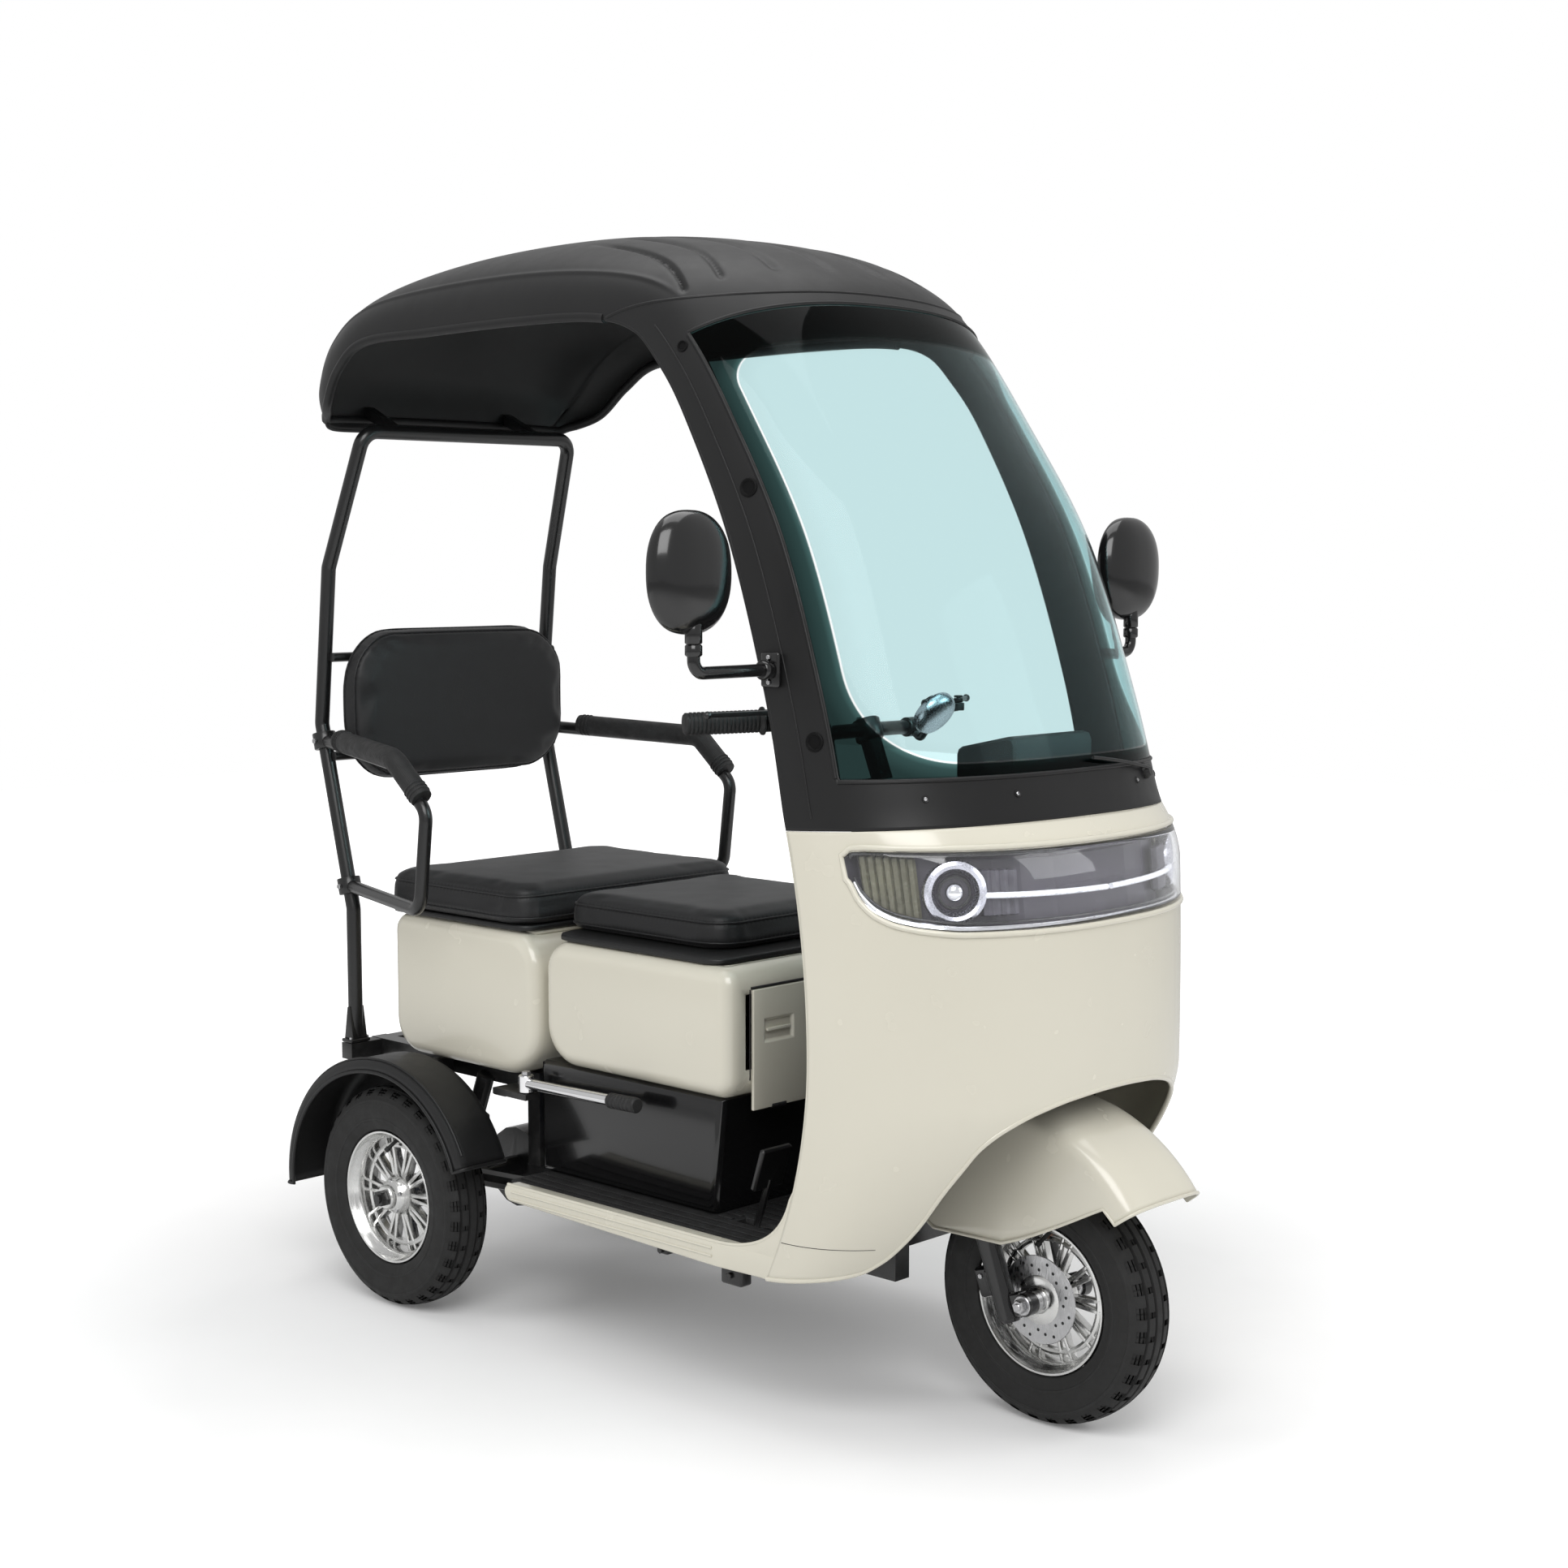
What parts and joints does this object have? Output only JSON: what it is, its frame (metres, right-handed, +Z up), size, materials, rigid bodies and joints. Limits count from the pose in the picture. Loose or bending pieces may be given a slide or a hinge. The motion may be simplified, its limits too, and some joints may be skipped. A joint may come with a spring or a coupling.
{
  "type": "electric tricycle",
  "caption": "Compact electric passenger tricycle with a curved windshield and roof, open sides, rider's saddle, rear bench with backrest and storage under both seats.",
  "frame": {"origin": "middle of the bounding box in plan, on the ground", "axes": "+Z up; -Y towards the front wheel; +X towards the rider's left hand"},
  "size_m": [1.132, 1.616, 1.7405],
  "materials": {
    "cream_plastic": "glossy",
    "roof_plastic": "satin",
    "black_plastic": "matt",
    "gloss_black": "glossy",
    "black_paint": "satin",
    "vinyl": "grained",
    "rubber": "matt",
    "tyre_rubber": "matt",
    "polished_alloy": "polished",
    "chrome": "polished",
    "tinted_glass": "clear",
    "clear_lens": "clear",
    "lamp_ring": "satin",
    "lamp_housing": "satin",
    "red_lens": "glossy",
    "battery_case": "matt",
    "mirror_glass": "polished"
  },
  "bodies": {
    "chassis": {"backrest_cushion": "vinyl", "battery_pack": "battery_case", "dashboard": "black_plastic", "floor_board": "black_plastic", "front_fairing": "cream_plastic", "headlight_housing": "lamp_housing", "headlight_lens": "clear_lens", "lamp_left": "lamp_ring", "lamp_right": "lamp_ring", "leg_shield": "black_plastic", "lower_body": "black_plastic", "main_frame": "black_paint", "mirror_bracket_left": "gloss_black", "mirror_bracket_right": "gloss_black", "motor_controller": "polished_alloy", "rear_box": "cream_plastic", "rear_fender_left": "black_plastic", "rear_fender_right": "black_plastic", "rear_hoop": "black_paint", "roof_canopy": "roof_plastic", "seat_box_front": "cream_plastic", "shock_spring_left": "chrome", "shock_spring_right": "chrome", "sill_left": "cream_plastic", "sill_right": "cream_plastic", "tail_light": "red_lens", "windshield": "tinted_glass", "windshield_frame": "roof_plastic"},
    "steering": {"display": "lamp_ring", "fork_yoke": "black_paint", "front_fender": "cream_plastic", "grip_left": "rubber", "handlebar": "black_paint"},
    "front_fork": {"fork_sliders": "black_plastic"},
    "front_wheel": {"front_rim": "polished_alloy", "front_tyre": "tyre_rubber"},
    "throttle_sleeve": {"throttle_grip": "rubber"},
    "lever_right": {"brake_lever_right": "polished_alloy"},
    "lever_left": {"brake_lever_left": "polished_alloy"},
    "rear_axle_unit": {"rear_axle": "black_paint"},
    "rear_wheel_right": {"rear_rim_right": "polished_alloy", "rear_tyre_right": "tyre_rubber"},
    "rear_wheel_left": {"rear_rim_left": "polished_alloy", "rear_tyre_left": "tyre_rubber"},
    "saddle": {"saddle_cushion": "vinyl", "saddle_lid": "black_plastic"},
    "bench": {"bench_cushion": "vinyl", "bench_lid": "black_plastic"},
    "door": {"box_door": "cream_plastic"},
    "brake_pedal_arm": {"brake_pedal": "black_paint"},
    "armrest_arm_right": {"armrest_pad_right": "rubber", "armrest_right": "black_paint"},
    "armrest_arm_left": {"armrest_left": "black_paint", "armrest_pad_left": "rubber"},
    "peg_right": {"foot_peg_right": "chrome"},
    "peg_left": {"foot_peg_left": "chrome"},
    "mirror_right": {"mirror_glass_right": "mirror_glass", "mirror_shell_right": "gloss_black"},
    "mirror_left": {"mirror_glass_left": "mirror_glass", "mirror_shell_left": "gloss_black"}
  },
  "joints": [
    {"name": "steer", "type": "hinge", "parent": "chassis", "child": "steering", "pos_m": [0, -0.44951, 0.47711], "axis": [0, 0.3746, 0.9272], "range_deg": [-32, 32]},
    {"name": "fork_travel", "type": "slide", "parent": "steering", "child": "front_fork", "axis": [0, 0.3746, 0.9272], "range_m": [0, 0.045], "stiffness_N_per_m": 14000, "springref_m": -0.055},
    {"name": "front_wheel_spin", "type": "hinge", "parent": "front_fork", "child": "front_wheel", "pos_m": [0, -0.60744, 0.185], "axis": [1, 0, 0], "continuous": true},
    {"name": "throttle_twist", "type": "hinge", "parent": "steering", "child": "throttle_sleeve", "pos_m": [-0.195, -0.21444, 1.005], "axis": [-0.8464, 0.532, -0.0242], "range_deg": [0, 55], "stiffness_Nm_per_rad": 0.3},
    {"name": "brake_squeeze_right", "type": "hinge", "parent": "steering", "child": "lever_right", "pos_m": [-0.20676, -0.25193, 1.00524], "axis": [0.0205, -0.0129, -0.9997], "range_deg": [0, 8], "stiffness_Nm_per_rad": 2.5},
    {"name": "brake_squeeze_left", "type": "hinge", "parent": "steering", "child": "lever_left", "pos_m": [0.20676, -0.25193, 1.00524], "axis": [0.0205, 0.0129, 0.9997], "range_deg": [0, 8], "stiffness_Nm_per_rad": 2.5},
    {"name": "rear_suspension", "type": "hinge", "parent": "chassis", "child": "rear_axle_unit", "pos_m": [0, 0.21256, 0.202], "axis": [1, 0, 0], "range_deg": [0, 4], "stiffness_Nm_per_rad": 3000, "springref_deg": -7.45, "deforming": ["shock_spring_right", "shock_spring_left"]},
    {"name": "rear_wheel_spin_right", "type": "hinge", "parent": "rear_axle_unit", "child": "rear_wheel_right", "pos_m": [-0.306, 0.51356, 0.185], "axis": [1, 0, 0], "continuous": true},
    {"name": "rear_wheel_spin_left", "type": "hinge", "parent": "rear_axle_unit", "child": "rear_wheel_left", "pos_m": [0.306, 0.51356, 0.185], "axis": [1, 0, 0], "continuous": true},
    {"name": "saddle_lift", "type": "hinge", "parent": "chassis", "child": "saddle", "pos_m": [0, -0.16244, 0.6404], "axis": [1, 0, 0], "range_deg": [0, 45]},
    {"name": "bench_lift", "type": "hinge", "parent": "chassis", "child": "bench", "pos_m": [0, 0.62256, 0.6454], "axis": [-1, 0, 0], "range_deg": [0, 60]},
    {"name": "door_drop", "type": "hinge", "parent": "chassis", "child": "door", "pos_m": [0, -0.20384, 0.424], "axis": [1, 0, 0], "range_deg": [0, 38]},
    {"name": "brake_press", "type": "hinge", "parent": "chassis", "child": "brake_pedal_arm", "pos_m": [-0.225, -0.13744, 0.2375], "axis": [1, 0, 0], "range_deg": [0, 12], "stiffness_Nm_per_rad": 12, "springref_deg": -8.59},
    {"name": "armrest_swing_right", "type": "hinge", "parent": "chassis", "child": "armrest_arm_right", "pos_m": [-0.25, 0.71256, 0.64], "axis": [0, -0.2462, -0.9692], "range_deg": [0, 90]},
    {"name": "armrest_swing_left", "type": "hinge", "parent": "chassis", "child": "armrest_arm_left", "pos_m": [0.25, 0.71256, 0.64], "axis": [0, 0.2462, 0.9692], "range_deg": [0, 90]},
    {"name": "peg_swing_right", "type": "hinge", "parent": "chassis", "child": "peg_right", "pos_m": [-0.266, 0.24256, 0.407], "axis": [0, 0, -1], "range_deg": [0, 85]},
    {"name": "peg_swing_left", "type": "hinge", "parent": "chassis", "child": "peg_left", "pos_m": [0.266, 0.24256, 0.407], "axis": [0, 0, 1], "range_deg": [0, 85]},
    {"name": "mirror_turn_right", "type": "hinge", "parent": "chassis", "child": "mirror_right", "pos_m": [-0.494, -0.37344, 1.223], "axis": [0, 0, 1], "range_deg": [-25, 25]},
    {"name": "mirror_turn_left", "type": "hinge", "parent": "chassis", "child": "mirror_left", "pos_m": [0.494, -0.37344, 1.223], "axis": [0, 0, 1], "range_deg": [-25, 25]}
  ]
}
